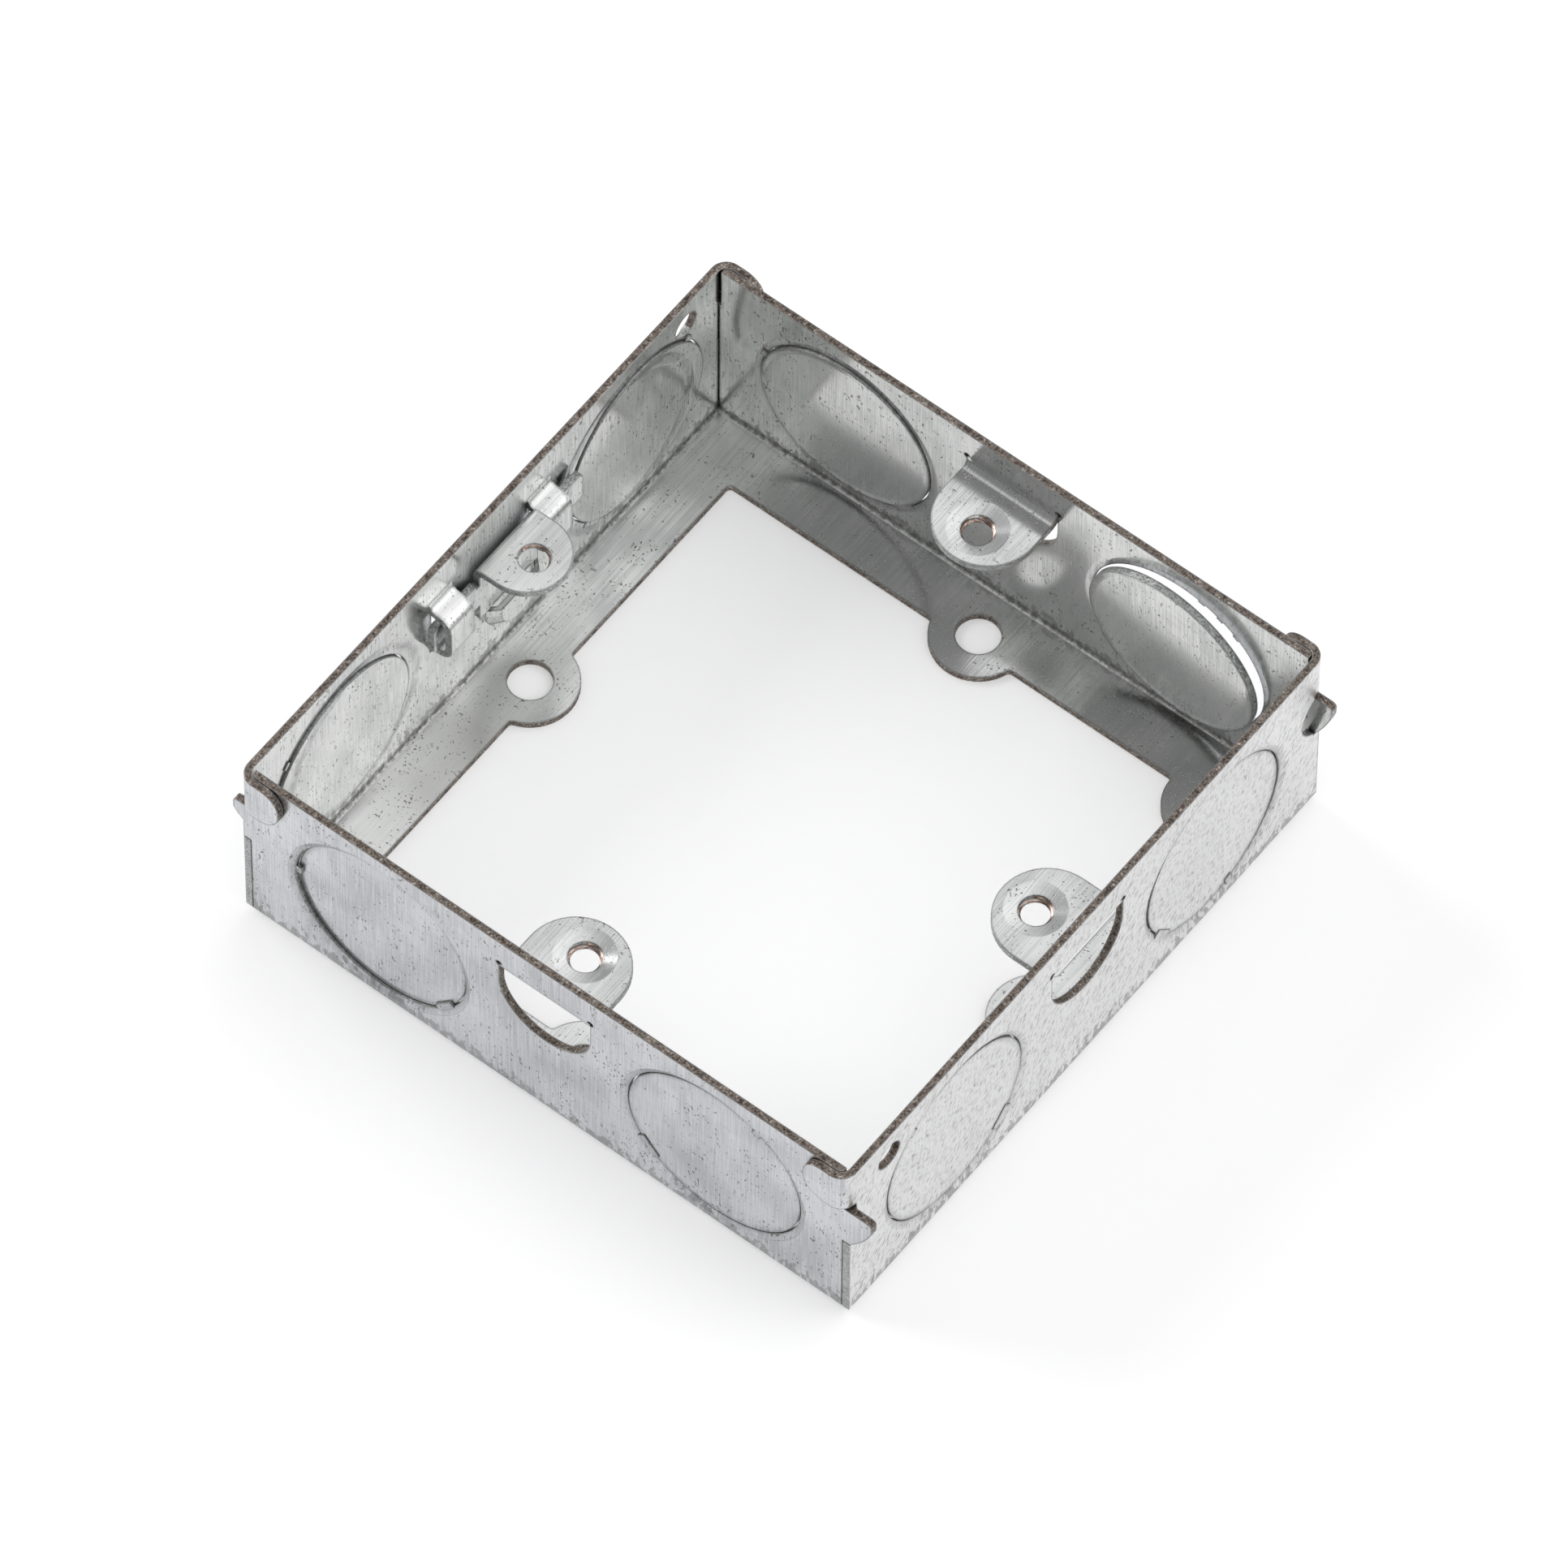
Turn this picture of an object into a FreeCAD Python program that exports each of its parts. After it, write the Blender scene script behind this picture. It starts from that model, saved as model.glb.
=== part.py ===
import FreeCAD, Part
import math
import os

# One-gang steel extension box: an open square frame folded from one blank of
# galvanised sheet, with a second small pressing, the sliding lug, held in two
# straps on one wall. Millimetres, +Z up, origin at the middle of the underside.
#
# Every wall feature is drawn on the front wall (facing -Y): u runs to the right
# as seen from outside, d runs inward from the outer face, z runs up. A turn of
# 90 degrees about Z carries it to the right, back or left wall.

# Folded body
outside_width = 72.6
wall_height = 25.0
sheet = 0.8
base_bend_inside = 0.4
base_flange_width = 7.0
opening_corner_radius = 0.5
seam_gap = 0.1

# Ears of the base flange, under the middle of each wall
ear_hole_inset = 5.7
ear_hole_radius = 2.25
ear_radius = 4.9
earth_ear_inset = 7.3
earth_ear_radius = 4.6
earth_hole_inset = 6.5

# Lugs that carry the cover plate's screws
screw_inset = 6.15
lug_width = 10.8
lug_tip_margin = 3.95
lug_top_drop = 4.7
lug_bend_inside = 1.0
lug_slit = 0.05
lug_window_depth = 8.5
lug_relief_radius = 0.35

# Collar drawn down round each tapped hole
tapped_radius = 1.7
collar_wall = 0.65
collar_drop = 0.9
collar_dish_depth = 0.35
collar_dish_radius = 3.1

# Knockouts
knockout_radius = 10.15
knockout_slit = 0.15
knockout_height = 12.5
knockout_inset = 16.3
knockout_inset_slide_wall = 13.7
knockout_roll_width = 0.65
knockout_roll_depth = 0.3
knockout_tab_width = 2.8
knockout_pip_width = 1.0
knockout_tab_reach = 0.5
tear_width = 0.8
tear_reach = 0.3
tear_pitch = 2.4

# Interlocking corners
tab_height = 5.5
tab_length = 5.0
tab_bend_inside = 1.0
tab_gap = 0.08
tab_round = 2.7
tab_top_round = 2.2
tab_relief = 0.15
hook_top = 18.85
hook_clearance = 0.15
hook_nose_radius = 0.5
hook_shoulder = 1.5
wall_end_gap = 0.3
wide_notch_depth = 2.8
wide_notch_bottom = 12.4

# Small round hole near one end of the left and of the right wall
side_hole_radius = 1.6
side_hole_from_corner = 5.9
side_hole_from_rim = 3.4

# Straps that hold the sliding lug
strap_width = 3.5
strap_to_front = 7.3
strap_to_back = 7.75
strap_top = 20.7
strap_bottom = 12.05
strap_bend_middle = 1.4
strap_draw = 1.2
strap_overlap = 0.3
plate_gap = 0.45
strap_gap = 0.65
ledge_middle = 2.2
ledge_half_width = 4.0
ledge_straight = 1.0
ledge_reach = 2.1
ledge_wall = 0.6
ledge_top = 11.5
ledge_bevel = 1.1
ledge_inner_bevel = 0.6

# Sliding lug
plate_half_length = 11.4
wing_height = 3.9
wing_bottom = 14.3
wing_corner_radius = 0.5
plate_bottom = 11.9
tongue_middle = 1.0
tongue_half_width = 0.7
tongue_bottom = 10.4
slide_lug_width = 8.9
slide_lug_top_drop = 4.7
slide_lug_bend_inside = 0.5
slide_lug_tip_margin = 3.5
slide_screw_inset = 5.2
slide_hole_radius = 1.6
slide_relief_width = 0.5
slide_relief_depth = 0.5
slide_position = 1.5

# Dependent sizes
half = outside_width / 2
inside = half - sheet
base_bend_outside = base_bend_inside + sheet
opening_half = half - base_flange_width
ear_hole_offset = half - ear_hole_inset
earth_ear_offset = half - earth_ear_inset
earth_hole_offset = half - earth_hole_inset
screw_offset = half - screw_inset
slide_screw_offset = half - slide_screw_inset
knockout_spread = half - knockout_inset
knockout_spread_slide_wall = half - knockout_inset_slide_wall
lug_top = wall_height - lug_top_drop
lug_bend_outside = lug_bend_inside + sheet
lug_hinge = lug_top + lug_bend_inside
knockout_hole_radius = knockout_radius + knockout_slit
tab_bottom = wall_height - tab_height
notch_top = tab_bottom - tab_relief
tab_bend_outside = tab_bend_inside + sheet
plate_back = sheet + plate_gap
plate_front = plate_back + sheet
strap_back = plate_front + strap_gap
slide_lug_top = wall_height - slide_lug_top_drop
slide_lug_bend_outside = slide_lug_bend_inside + sheet
wing_top = wing_bottom + wing_height
# A cut that has to pass right through runs this far past the metal
past = 2.0

FRONT, RIGHT, BACK, LEFT = 0, 90, 180, 270
# The four corners, by the ends of the right and left walls: (hand, end), where
# hand is 1 for right and -1 for left, and end is -1 for front and 1 for back
FRONT_RIGHT, FRONT_LEFT, BACK_RIGHT, BACK_LEFT = (1, -1), (-1, -1), (1, 1), (-1, 1)
UP = FreeCAD.Vector(0, 0, 1)
ORIGIN = FreeCAD.Vector(0, 0, 0)


def at(u, d, z):
    """A point of the front wall: along it, in from its outer face, and up."""
    return FreeCAD.Vector(u, d - half, z)


def turned(shape, side):
    """The same shape on another wall."""
    copy = shape.copy()
    copy.rotate(ORIGIN, UP, side)
    return copy


def block(u0, u1, d0, d1, z0, z1):
    """A rectangular block between two corners, in wall coordinates."""
    return Part.makeBox(u1 - u0, d1 - d0, z1 - z0, at(u0, d0, z0))


def across_wall(edges, d0, d1):
    """A flat outline drawn at depth d0, pushed in to depth d1."""
    face = Part.Face(Part.Wire(Part.__sortEdges__(edges)))
    return face.extrude(FreeCAD.Vector(0, d1 - d0, 0))


def along_wall(edges, u0, u1):
    """A section drawn at u0, drawn out along the wall to u1."""
    face = Part.Face(Part.Wire(Part.__sortEdges__(edges)))
    return face.extrude(FreeCAD.Vector(u1 - u0, 0, 0))


def line(a, b):
    return Part.makeLine(a, b)


def arc(a, middle, b):
    return Part.Arc(a, middle, b).toShape()


def section_arc(u, centre_d, centre_z, radius, start, end):
    """An arc in the (d, z) section at u, angles in degrees from the d axis."""
    points = []
    for angle in (start, (start + end) / 2, end):
        a = math.radians(angle)
        points.append(at(u, centre_d + radius * math.cos(a), centre_z + radius * math.sin(a)))
    return arc(*points)


def open_tray():
    """The folded square before its cut-outs: four walls round a base flange."""
    outer = Part.makeBox(outside_width, outside_width, wall_height, FreeCAD.Vector(-half, -half, 0))
    inner = Part.makeBox(2 * inside, 2 * inside, wall_height, FreeCAD.Vector(-inside, -inside, sheet))
    outer = outer.makeFillet(base_bend_outside, edges_at_height(outer, 0))
    inner = inner.makeFillet(base_bend_inside, edges_at_height(inner, sheet))
    return outer.cut(inner)


def edges_at_height(shape, z):
    """The edges that lie flat at one height."""
    return [e for e in shape.Edges if all(abs(v.Z - z) < 1e-6 for v in e.Vertexes)]


def upright_edges(shape):
    """The straight edges that run up and down."""
    found = []
    for edge in shape.Edges:
        ends = edge.Vertexes
        if len(ends) == 2 and abs(ends[0].Z - ends[1].Z) > 1e-6:
            if abs(ends[0].X - ends[1].X) < 1e-6 and abs(ends[0].Y - ends[1].Y) < 1e-6:
                found.append(edge)
    return found


def base_opening():
    """The square hole in the base, less the ears that stand into it."""
    height = sheet + 2 * past
    tool = Part.makeBox(2 * opening_half, 2 * opening_half, height,
                        FreeCAD.Vector(-opening_half, -opening_half, -past))
    ears = [Part.makeCylinder(ear_radius, height, FreeCAD.Vector(0, -ear_hole_offset, -past))]
    ears += [turned(ears[0], side) for side in (RIGHT, BACK, LEFT)]
    ears.append(Part.makeCylinder(earth_ear_radius, height,
                                  FreeCAD.Vector(earth_ear_offset, earth_ear_offset, -past)))
    tool = tool.cut(ears)
    return tool.makeFillet(opening_corner_radius, upright_edges(tool))


def ear_holes():
    """Clearance holes in the four ears for the screws of the box behind."""
    first = Part.makeCylinder(ear_hole_radius, sheet + 2 * past, FreeCAD.Vector(0, -ear_hole_offset, -past))
    return [turned(first, side) for side in (FRONT, RIGHT, BACK, LEFT)]


def bore_at(x, y, top, radius):
    """A tapped hole straight through, from well above to well below the sheet."""
    height = sheet + collar_drop + 2 * past
    return Part.makeCylinder(radius, height, FreeCAD.Vector(x, y, top + past - height))


def collar():
    """The collar drawn down from the lug, before its bore."""
    bottom = lug_top - sheet - collar_drop
    return Part.makeCylinder(tapped_radius + collar_wall, lug_top - bottom,
                             FreeCAD.Vector(0, -screw_offset, bottom))


def collar_bore():
    """The collar's bore, with the shallow dish that drawing it leaves on top."""
    dish = Part.makeCone(tapped_radius, collar_dish_radius, collar_dish_depth,
                         FreeCAD.Vector(0, -screw_offset, lug_top - collar_dish_depth))
    return bore_at(0, -screw_offset, lug_top, tapped_radius).fuse(dish)


def lug_flat(width, tip_y, back_y, top):
    """The flat part of a lug: straight sides and a round end towards the middle."""
    radius = width / 2
    centre = tip_y - radius

    def p(x, y):
        return FreeCAD.Vector(x, y, top - sheet)

    outline = [line(p(-radius, back_y), p(radius, back_y)),
               line(p(radius, back_y), p(radius, centre)),
               arc(p(radius, centre), p(0, tip_y), p(-radius, centre)),
               line(p(-radius, centre), p(-radius, back_y))]
    return Part.Face(Part.Wire(outline)).extrude(FreeCAD.Vector(0, 0, sheet))


def fixed_lug():
    """A lug bent in from the wall, without its bore."""
    tip_y = lug_tip_margin - screw_offset
    bend_d = sheet + lug_bend_inside
    radius = lug_width / 2
    bend = [section_arc(-radius, bend_d, lug_hinge, lug_bend_inside, 180, 270),
            section_arc(-radius, bend_d, lug_hinge, lug_bend_outside, 180, 270),
            line(at(-radius, 0, lug_hinge), at(-radius, sheet, lug_hinge)),
            line(at(-radius, bend_d, lug_top - sheet), at(-radius, bend_d, lug_top))]
    flat = lug_flat(lug_width, tip_y, bend_d - half, lug_top)
    return along_wall(bend, -radius, radius).fuse([flat, collar()])


def lug_window():
    """The hole that the lug leaves in the wall: flat top, round bottom, and a
    small round relief at each end of the bend."""
    radius = lug_width / 2 + lug_slit
    bottom = lug_hinge - lug_window_depth
    centre = bottom + radius
    outline = [line(at(-radius, -past, lug_hinge), at(radius, -past, lug_hinge)),
               line(at(radius, -past, lug_hinge), at(radius, -past, centre)),
               arc(at(radius, -past, centre), at(0, -past, bottom), at(-radius, -past, centre)),
               line(at(-radius, -past, centre), at(-radius, -past, lug_hinge))]
    window = across_wall(outline, -past, sheet + past)
    reliefs = [Part.makeCylinder(lug_relief_radius, sheet + 2 * past, at(u, -past, lug_hinge),
                                 FreeCAD.Vector(0, 1, 0)) for u in (-radius, radius)]
    return window.fuse(reliefs)


class Knockout:
    """A disc sheared nearly all round and pushed in, still held by its tabs.

    angle is where the main tab sits, in degrees from the u axis; near and far
    are how deep the disc lies at that tab and at the opposite side; pips are the
    angles of the smaller tabs; tears are the angles of torn burrs."""

    def __init__(self, side, u, angle, near, far, pips=(), tears=()):
        self.side = side
        self.u = u
        self.angle = angle
        self.near = near
        self.far = far
        self.pips = pips
        self.tears = tears

    def turned_to(self, shape, angle):
        """Turn a shape about the disc's axis, from the u axis to an angle."""
        shape.rotate(at(self.u, 0, knockout_height), FreeCAD.Vector(0, -1, 0), angle)
        return shape

    def rim_block(self, angle, width, r0, r1, d0, d1):
        """A small block across the slit, at one angle of the disc."""
        piece = block(self.u + r0, self.u + r1, d0, d1,
                      knockout_height - width / 2, knockout_height + width / 2)
        return self.turned_to(piece, angle)

    def hole(self):
        """The sheared hole, with the edge of the outer face rolled over."""
        axis = FreeCAD.Vector(0, 1, 0)
        start = at(self.u, -past, knockout_height)
        shear = Part.makeCylinder(knockout_hole_radius, sheet + 2 * past, start, axis)
        roll = Part.makeCone(knockout_hole_radius + knockout_roll_width, knockout_hole_radius,
                             knockout_roll_depth, at(self.u, 0, knockout_height), axis)
        return shear.fuse(roll)

    def disc(self):
        """The disc, swung inward about its main tab."""
        disc = Part.makeCylinder(knockout_radius, sheet, at(self.u, self.near, knockout_height),
                                 FreeCAD.Vector(0, 1, 0))
        a = math.radians(self.angle)
        hinge = at(self.u + knockout_radius * math.cos(a), self.near,
                   knockout_height + knockout_radius * math.sin(a))
        tangent = FreeCAD.Vector(math.sin(a), 0, -math.cos(a))
        tilt = math.degrees(math.atan((self.far - self.near) / (2 * knockout_radius)))
        disc.rotate(hinge, tangent, tilt)
        return disc

    def depth_at(self, angle):
        """How deep the disc's outer face lies at an angle of its edge."""
        share = (1 - math.cos(math.radians(angle - self.angle))) / 2
        return self.near + (self.far - self.near) * share

    def tabs(self):
        """What still joins the disc to the wall."""
        r0 = knockout_radius - knockout_tab_reach
        r1 = knockout_hole_radius + knockout_tab_reach
        lift = self.near / 2
        pieces = [self.rim_block(self.angle, knockout_tab_width, r0, r1, lift, sheet + lift)]
        for pip in self.pips:
            lift = self.depth_at(pip) / 2
            pieces.append(self.rim_block(pip, knockout_pip_width, r0, r1, lift, sheet + lift))
        return pieces

    def burrs(self):
        """Torn points left on the hole's edge."""
        pieces = []
        for angle in self.tears:
            pieces.append(self.rim_block(angle, tear_width, knockout_hole_radius - tear_reach,
                                         knockout_hole_radius + tear_reach, sheet / 3, sheet))
        return pieces


def tear_angles(middle, count):
    """Evenly pitched angles about one direction."""
    step = math.degrees(tear_pitch / knockout_hole_radius)
    return [middle + step * (i - (count - 1) / 2) for i in range(count)]


def knockouts():
    """Two discs on each wall, each as it was left by the press."""
    s = knockout_spread
    w = knockout_spread_slide_wall
    return [Knockout(FRONT, -s, -40, 0.45, 0.75, pips=(75, 178)),
            Knockout(FRONT, s, -140, 0.2, 0.4, pips=(60,)),
            Knockout(RIGHT, -s, -45, 0.15, 0.3, pips=(130,)),
            Knockout(RIGHT, s, -141, 0.15, 0.4, pips=(-75,)),
            Knockout(BACK, s, -134, 0.1, 0.35, pips=(20,), tears=tear_angles(96, 4)),
            Knockout(BACK, -s, -43, 0.4, 1.7, tears=tear_angles(118, 3)),
            Knockout(LEFT, -w, -49, 0.1, 0.3, pips=(140,)),
            Knockout(LEFT, w, -131, 0.1, 0.3, pips=(40,))]


def at_corner(shape, corner):
    """Carry a shape drawn at the front right corner to another corner."""
    hand, end = corner
    if end > 0:
        shape = shape.mirror(ORIGIN, FreeCAD.Vector(0, 1, 0))
    if hand < 0:
        shape = shape.mirror(ORIGIN, FreeCAD.Vector(1, 0, 0))
    return shape


def tab_bend_centre():
    """The axis of the tab's bend at the front right corner, as (x, y)."""
    return half - tab_bend_outside, -half - tab_gap + tab_bend_inside


def corner_tab():
    """A tab of the right wall, bent round the front right corner onto the front
    wall: level with the rim on top, its end rounded above and below."""
    centre_x, centre_y = tab_bend_centre()
    diagonal = math.cos(math.radians(45))

    def p(x, y, z=tab_bottom):
        return FreeCAD.Vector(x, y, z)

    def on_bend(radius):
        return arc(p(centre_x, centre_y - radius),
                   p(centre_x + radius * diagonal, centre_y - radius * diagonal),
                   p(centre_x + radius, centre_y))

    bend = [on_bend(tab_bend_inside), on_bend(tab_bend_outside),
            line(p(centre_x, centre_y - tab_bend_inside), p(centre_x, centre_y - tab_bend_outside)),
            line(p(centre_x + tab_bend_inside, centre_y), p(centre_x + tab_bend_outside, centre_y))]
    bent = Part.Face(Part.Wire(Part.__sortEdges__(bend))).extrude(FreeCAD.Vector(0, 0, tab_height))
    end_x = half - tab_length
    round_x = end_x + tab_round
    round_z = tab_bottom + tab_round
    top_x = end_x + tab_top_round
    top_z = wall_height - tab_top_round
    y = centre_y - tab_bend_outside
    outline = [line(p(centre_x, y), p(round_x, y)),
               arc(p(round_x, y), p(round_x - tab_round * diagonal, y, round_z - tab_round * diagonal),
                   p(end_x, y, round_z)),
               line(p(end_x, y, round_z), p(end_x, y, top_z)),
               arc(p(end_x, y, top_z),
                   p(top_x - tab_top_round * diagonal, y, top_z + tab_top_round * diagonal),
                   p(top_x, y, wall_height)),
               line(p(top_x, y, wall_height), p(centre_x, y, wall_height)),
               line(p(centre_x, y, wall_height), p(centre_x, y))]
    flat = Part.Face(Part.Wire(outline)).extrude(FreeCAD.Vector(0, sheet, 0))
    return bent.fuse(flat)


def tab_clearance():
    """What is cut from the square corner so that the tab can pass round it. The
    front wall's end is left rounded, following the inside of the bend."""
    centre_x, centre_y = tab_bend_centre()
    height = wall_height - notch_top + past
    end_x = inside - wall_end_gap
    beyond_end = Part.makeBox(half + past - end_x, centre_y + half + past, height,
                              FreeCAD.Vector(end_x, -half - past, notch_top))
    round_end = Part.makeBox(half + past - centre_x, centre_y + half + past, height,
                             FreeCAD.Vector(centre_x, -half - past, notch_top))
    kept = Part.makeCylinder(tab_bend_inside - tab_gap, height,
                             FreeCAD.Vector(centre_x, centre_y, notch_top))
    return beyond_end.fuse(round_end.cut(kept))


def hook_notch(bottom):
    """The notch in the right wall that lets the front wall's hook through. It runs
    up to where the tab begins."""
    depth = sheet + hook_clearance
    start = bottom - hook_clearance
    return Part.makeBox(sheet + seam_gap + past, depth + past, notch_top - start,
                        FreeCAD.Vector(inside - seam_gap, -half - past, start))


def wide_notch():
    """A deeper round-bottomed notch, found at one corner only."""
    top = notch_top
    radius = (top - wide_notch_bottom) / 2
    middle = wide_notch_bottom + radius
    round_y = -half + wide_notch_depth - radius

    def p(y, z):
        return FreeCAD.Vector(inside, y, z)

    outline = [line(p(-half - past, wide_notch_bottom), p(round_y, wide_notch_bottom)),
               arc(p(round_y, wide_notch_bottom), p(round_y + radius, middle), p(round_y, top)),
               line(p(round_y, top), p(-half - past, top)),
               line(p(-half - past, top), p(-half - past, wide_notch_bottom))]
    return Part.Face(Part.Wire(outline)).extrude(FreeCAD.Vector(sheet + past, 0, 0))


def hook(reach, heel, bottom):
    """A hook of the front wall that runs out through the right wall's notch.

    reach is how far its nose stands out, heel the height where its underside
    comes back level with the right wall, and bottom the end of the hook."""
    root = inside - seam_gap - sheet
    tip = half + reach
    nose = hook_nose_radius
    shoulder = hook_top - hook_shoulder
    diagonal = nose * math.cos(math.radians(45))

    def p(u, z):
        return at(u, 0, z)

    outline = [line(p(root, hook_top), p(tip - nose, hook_top)),
               arc(p(tip - nose, hook_top), p(tip - nose + diagonal, hook_top - nose + diagonal),
                   p(tip, hook_top - nose)),
               line(p(tip, hook_top - nose), p(tip, shoulder)),
               arc(p(tip, shoulder), p(half + reach * 0.62, (shoulder + heel) / 2), p(half, heel))]
    if heel > bottom:
        outline.append(line(p(half, heel), p(half, bottom)))
    outline += [line(p(half, bottom), p(root, bottom)),
                line(p(root, bottom), p(root, hook_top))]
    return across_wall(outline, 0, sheet)


def corner_hooks():
    """The four hooks, each as the press left it: (corner, reach, heel, bottom)."""
    return [(FRONT_RIGHT, 2.5, 13.0, 13.0),
            (FRONT_LEFT, 1.2, 16.0, 13.2),
            (BACK_RIGHT, 1.9, 12.6, 12.6),
            (BACK_LEFT, 2.2, 13.0, 13.0)]


def seams():
    """The open joints at the corners: the front and back walls stop short of
    the side walls, all the way down to the base bend."""
    cuts = []
    for hand in (-1, 1):
        u0, u1 = sorted((hand * inside, hand * (inside - seam_gap)))
        slot = block(u0, u1, -past, sheet, base_bend_outside, wall_height + past)
        cuts += [turned(slot, FRONT), turned(slot, BACK)]
    return cuts


def side_holes():
    """One small round hole near the front end of the right wall, and its twin."""
    start = at(side_hole_from_corner - half, -past, wall_height - side_hole_from_rim)
    hole = Part.makeCylinder(side_hole_radius, sheet + 2 * past, start, FreeCAD.Vector(0, 1, 0))
    return [turned(hole, RIGHT), turned(hole, LEFT)]


def strap_edges(u, offset):
    """One face of a strap's section, offset from the middle of its thickness.

    The strap leaves the wall at strap_top, runs in by two equal bends, down, and
    back to the wall at strap_bottom by two more."""
    rise = strap_back
    r = strap_bend_middle
    sweep = math.degrees(math.acos(1 - rise / (2 * r)))
    run = r * math.sin(math.radians(sweep))
    wall_d = sheet / 2
    out_d = wall_d + rise
    inner = r - offset
    outer = r + offset
    top = [section_arc(u, wall_d + r, strap_top, outer, 180, 180 + sweep),
           section_arc(u, out_d - r, strap_top - 2 * run, inner, 0, sweep)]
    bottom = [section_arc(u, out_d - r, strap_bottom + 2 * run, inner, 0, -sweep),
              section_arc(u, wall_d + r, strap_bottom, outer, 180, 180 - sweep)]
    d = out_d - offset
    straight = line(at(u, d, strap_top - 2 * run), at(u, d, strap_bottom + 2 * run))
    return top + [straight] + bottom


def strap(u):
    """A strap pressed in from the wall between two slits."""
    start = u - strap_width / 2
    half_sheet = sheet / 2
    edges = strap_edges(start, half_sheet) + strap_edges(start, -half_sheet)
    edges.append(line(at(start, 0, strap_top), at(start, sheet, strap_top)))
    edges.append(line(at(start, 0, strap_bottom), at(start, sheet, strap_bottom)))
    return along_wall(edges, start, start + strap_width)


def strap_window(u):
    """The hole in the wall behind a strap. The strap's roots are drawn out of the
    wall, so the hole is a little shorter and narrower than the strap."""
    reach = strap_width / 2 - strap_overlap
    return block(u - reach, u + reach, -past, sheet, strap_bottom + strap_draw, strap_top - strap_draw)


def ledge(outer):
    """A half-moon scoop pressed in under the sliding lug, its free edge
    uppermost, so that the lug's tongue can stand behind it.

    With outer true it is the scoop itself, otherwise the hollow behind it."""
    wall = 0.0 if outer else ledge_wall
    radius = ledge_half_width - wall
    front = sheet + ledge_reach - wall
    back = 0.0 if outer else -past
    top = ledge_top if outer else ledge_top + past
    centre = ledge_top - ledge_straight
    u = -ledge_middle
    outline = [line(at(u - radius, back, top), at(u + radius, back, top)),
               line(at(u + radius, back, top), at(u + radius, back, centre)),
               arc(at(u + radius, back, centre), at(u, back, centre - radius), at(u - radius, back, centre)),
               line(at(u - radius, back, centre), at(u - radius, back, top))]
    scoop = across_wall(outline, back, front)
    edges = []
    for edge in scoop.Edges:
        on_front = all(abs(v.Y - (front - half)) < 1e-6 for v in edge.Vertexes)
        along_top = all(abs(v.Z - top) < 1e-6 for v in edge.Vertexes)
        if on_front and not along_top:
            edges.append(edge)
    scoop = scoop.makeChamfer(ledge_bevel if outer else ledge_inner_bevel, edges)
    if outer:
        return scoop
    in_wall = block(u - radius, u + radius, -past, sheet, ledge_top, top)
    return scoop.cut(in_wall)


def folded_box():
    """The whole folded body."""
    body = open_tray()
    body = body.cut([base_opening()] + ear_holes() + seams() + side_holes())
    clearances = [at_corner(wide_notch(), BACK_RIGHT)]
    joints = []
    for corner, reach, heel, bottom in corner_hooks():
        clearances += [at_corner(tab_clearance(), corner), at_corner(hook_notch(bottom), corner)]
        joints += [at_corner(corner_tab(), corner), at_corner(hook(reach, heel, bottom), corner)]
    body = body.cut(clearances)
    body = body.fuse(joints)

    body = body.cut([turned(lug_window(), side) for side in (FRONT, RIGHT, BACK)])
    body = body.fuse([turned(fixed_lug(), side) for side in (FRONT, RIGHT, BACK)])
    body = body.cut([turned(collar_bore(), side) for side in (FRONT, RIGHT, BACK)])
    body = body.cut(bore_at(earth_hole_offset, earth_hole_offset, sheet, tapped_radius))

    straps = [-strap_to_back, strap_to_front]
    body = body.cut([turned(strap_window(u), LEFT) for u in straps])
    body = body.fuse([turned(strap(u), LEFT) for u in straps] + [turned(ledge(True), LEFT)])
    body = body.cut(turned(ledge(False), LEFT))

    discs = knockouts()
    body = body.cut([turned(k.hole(), k.side) for k in discs])
    pieces = []
    for k in discs:
        pieces += [turned(piece, k.side) for piece in [k.disc()] + k.tabs() + k.burrs()]
    return body.fuse(pieces).removeSplitter()


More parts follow.
